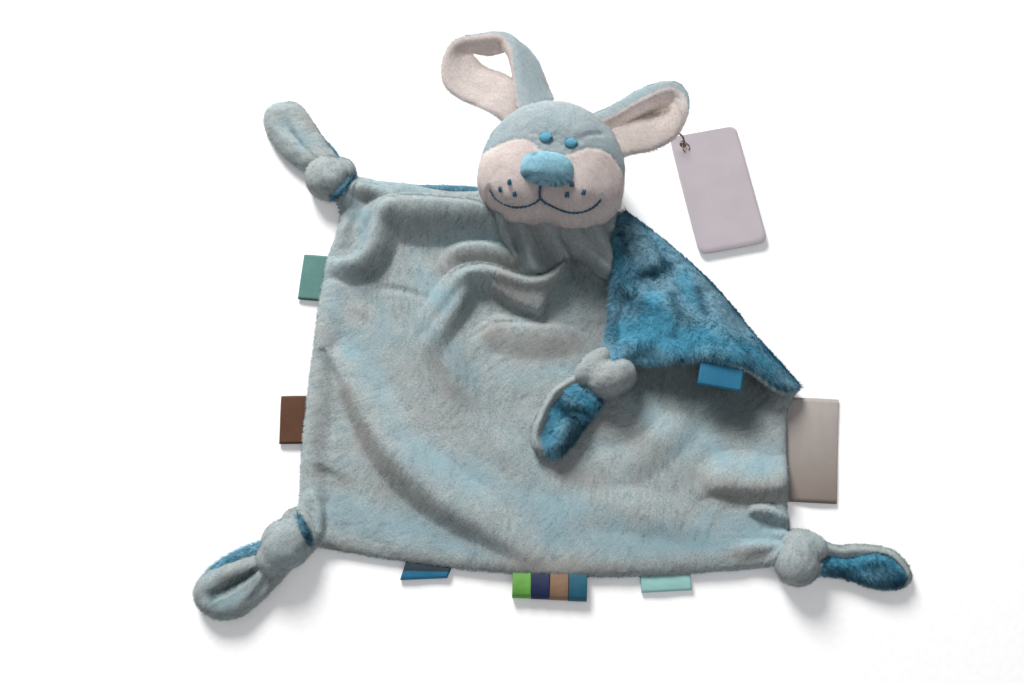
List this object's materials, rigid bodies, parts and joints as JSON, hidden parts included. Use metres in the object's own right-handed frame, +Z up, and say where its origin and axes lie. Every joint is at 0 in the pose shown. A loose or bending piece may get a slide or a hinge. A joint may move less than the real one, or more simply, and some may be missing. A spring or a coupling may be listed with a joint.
{
  "type": "pacifier lovey",
  "caption": "Flat plush comforter with a stuffed animal head, looped ears, knotted corners with tails, ribbon loops on its edges, one folded corner and a blank hang card.",
  "frame": {"origin": "centre of the blanket's underside, on the surface it lies on", "axes": "+X towards the picture's right, +Y towards the head, +Z up from the surface that the toy lies on"},
  "size_m": [0.3565, 0.317, 0.0588],
  "materials": {
    "plush_pale": "soft pile",
    "plush_blue": "soft pile",
    "plush_crown": "soft pile",
    "plush_white": "soft pile",
    "filling": "loose fibre",
    "satin_blue": "satin",
    "thread_blue": "embroidered",
    "thread_dark": "embroidered",
    "ribbon_mint": "woven",
    "ribbon_brown": "woven",
    "ribbon_blue": "woven",
    "ribbon_green": "woven",
    "ribbon_navy": "woven",
    "ribbon_tan": "woven",
    "ribbon_teal": "woven",
    "label_satin": "satin weave",
    "card": "smooth, unprinted",
    "string": "twisted"
  },
  "bodies": {
    "blanket": {"blanket_front_panel": "plush_pale", "blanket_back_panel": "plush_blue", "upper_left_knot": "plush_pale", "lower_left_knot": "plush_pale", "lower_right_knot": "plush_pale", "neck_gather": "plush_white"},
    "head": {"head_stuffing": "filling", "head_crown_panel": "plush_crown", "head_muzzle_panel": "plush_white", "head_back_panel": "plush_crown", "nose": "satin_blue", "eye_left": "thread_blue", "eye_right": "thread_blue", "mouth_stitching": "thread_dark", "whisker_stitch_1": "thread_dark", "whisker_stitch_2": "thread_dark", "whisker_stitch_3": "thread_dark", "whisker_stitch_4": "thread_dark", "whisker_stitch_5": "thread_dark", "whisker_stitch_6": "thread_dark"},
    "left_ear": {"ear_left_outer": "plush_crown", "ear_left_lining": "plush_white"},
    "right_ear": {"ear_right_outer": "plush_crown", "ear_right_lining": "plush_white", "card_string": "string"},
    "hanging_card": {"hang_card": "card"},
    "folded_corner": {"folded_corner_under_ply": "plush_pale", "folded_corner_top_ply": "plush_blue", "folded_knot": "plush_blue"},
    "folded_tail": {"folded_tail_top_ply": "plush_blue", "folded_tail_under_ply": "plush_pale"},
    "upper_left_tail": {"upper_left_tail_top_ply": "plush_pale", "upper_left_tail_under_ply": "plush_blue"},
    "lower_left_tail": {"lower_left_tail_top_ply": "plush_pale", "lower_left_tail_under_ply": "plush_blue"},
    "lower_right_tail": {"lower_right_tail_top_ply": "plush_blue", "lower_right_tail_under_ply": "plush_pale"},
    "mint_tag": {"tag_left_mint": "ribbon_mint"},
    "brown_tag": {"tag_left_brown": "ribbon_brown"},
    "blue_tag": {"tag_bottom_blue": "ribbon_blue"},
    "ribbon_loops": {"tag_bottom_green": "ribbon_green", "tag_bottom_navy": "ribbon_navy", "tag_bottom_tan": "ribbon_tan", "tag_bottom_teal": "ribbon_teal"},
    "low_mint_tag": {"tag_bottom_mint": "ribbon_mint"},
    "label": {"side_label": "label_satin"},
    "folded_blue_tag": {"tag_folded_blue": "ribbon_blue"}
  },
  "joints": [
    {"name": "head_nod", "type": "hinge", "parent": "blanket", "child": "head", "pos_m": [0.0005, 0.06, 0.006], "axis": [0.9877, -0.1564, 0], "range_deg": [0, 55], "deforming": ["neck_gather"]},
    {"name": "left_ear_lift", "type": "hinge", "parent": "head", "child": "left_ear", "pos_m": [-0.0145, 0.1425, 0.0285], "axis": [0.8366, 0.5478, 0], "range_deg": [0, 50]},
    {"name": "right_ear_lift", "type": "hinge", "parent": "head", "child": "right_ear", "pos_m": [0.04, 0.13, 0.0285], "axis": [0.3768, -0.9263, 0], "range_deg": [0, 50]},
    {"name": "card_swing", "type": "hinge", "parent": "right_ear", "child": "hanging_card", "pos_m": [0.0744, 0.1303, 0.0023], "axis": [0, 0, 1], "range_deg": [-3, 40]},
    {"name": "corner_fold", "type": "hinge", "parent": "blanket", "child": "folded_corner", "pos_m": [0.04439, 0.09294, 0.00565], "axis": [-0.6685, 0.7437, 0], "range_deg": [0, 120]},
    {"name": "folded_tail_swing", "type": "hinge", "parent": "folded_corner", "child": "folded_tail", "pos_m": [0.027, -0.004, 0.012], "axis": [0, 0, 1], "range_deg": [-15, 15]},
    {"name": "upper_left_tail_swing", "type": "hinge", "parent": "blanket", "child": "upper_left_tail", "pos_m": [-0.122, 0.107, 0.004], "axis": [0, 0, 1], "range_deg": [-20, 20]},
    {"name": "lower_left_tail_swing", "type": "hinge", "parent": "blanket", "child": "lower_left_tail", "pos_m": [-0.131, -0.088, 0.004], "axis": [0, 0, 1], "range_deg": [-20, 20]},
    {"name": "lower_right_tail_swing", "type": "hinge", "parent": "blanket", "child": "lower_right_tail", "pos_m": [0.123, -0.098, 0.004], "axis": [0, 0, 1], "range_deg": [-18, 18]},
    {"name": "mint_tag_flip", "type": "hinge", "parent": "blanket", "child": "mint_tag", "pos_m": [-0.1228, 0.0515, 0.00152], "axis": [0.0872, 0.9962, 0], "range_deg": [0, 75]},
    {"name": "brown_tag_flip", "type": "hinge", "parent": "blanket", "child": "brown_tag", "pos_m": [-0.1294, -0.026, 0.00152], "axis": [-0.0175, 0.9998, 0], "range_deg": [0, 75]},
    {"name": "blue_tag_flip", "type": "hinge", "parent": "blanket", "child": "blue_tag", "pos_m": [-0.0625, -0.1003, 0.00152], "axis": [-0.9903, 0.1392, 0], "range_deg": [0, 75]},
    {"name": "ribbon_loops_flip", "type": "hinge", "parent": "blanket", "child": "ribbon_loops", "pos_m": [-0.0024, -0.1064, 0.00295], "axis": [-0.9994, 0.0349, 0], "range_deg": [0, 75]},
    {"name": "low_mint_tag_flip", "type": "hinge", "parent": "blanket", "child": "low_mint_tag", "pos_m": [0.0555, -0.1056, 0.00152], "axis": [-0.9998, -0.0175, 0], "range_deg": [0, 75]},
    {"name": "label_flip", "type": "hinge", "parent": "blanket", "child": "label", "pos_m": [0.1267, -0.042, 0.00097], "axis": [-0.0698, -0.9976, 0], "range_deg": [0, 75]},
    {"name": "folded_blue_tag_flip", "type": "hinge", "parent": "folded_corner", "child": "folded_blue_tag", "pos_m": [0.086, -0.0018, 0.00712], "axis": [-0.9848, 0.1736, 0], "range_deg": [0, 60]}
  ]
}
